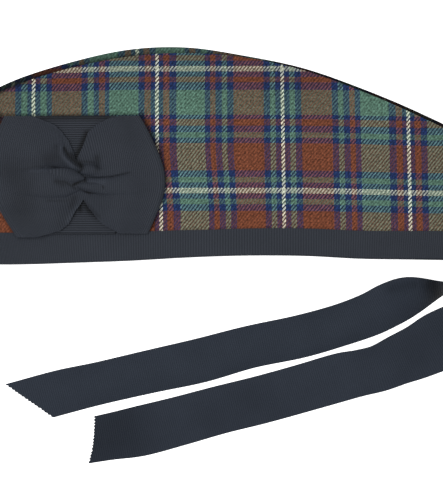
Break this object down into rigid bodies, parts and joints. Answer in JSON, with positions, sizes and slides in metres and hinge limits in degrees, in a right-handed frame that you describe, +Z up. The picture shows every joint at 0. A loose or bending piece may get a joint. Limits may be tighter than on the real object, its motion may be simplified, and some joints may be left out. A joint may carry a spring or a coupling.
{
  "type": "tartan cap",
  "caption": "Folding boat-shaped tartan cap lying on its side, with a dark ribbon band round the rim, a ribbon cockade on its left side and ribbon tails at the back.",
  "frame": {"origin": "middle of the flat underside that the cap lies on", "axes": "+X from the front of the cap to its back, +Y from the rim to the crest, +Z up, towards the left side with the cockade"},
  "size_m": [0.3047, 0.2279, 0.0275],
  "materials": {
    "tartan_cloth": "woven twill tartan in rust, green, navy and cream",
    "corded_ribbon": "matt charcoal ribbon with fine cross ribs"
  },
  "bodies": {
    "root": {"side_left": "tartan_cloth", "side_right": "tartan_cloth", "crown": "tartan_cloth", "band": "corded_ribbon", "cockade_backing": "corded_ribbon", "cockade_bow": "corded_ribbon", "cockade_knot": "corded_ribbon", "tail_upper": "corded_ribbon", "tail_lower": "corded_ribbon"}
  },
  "joints": []
}
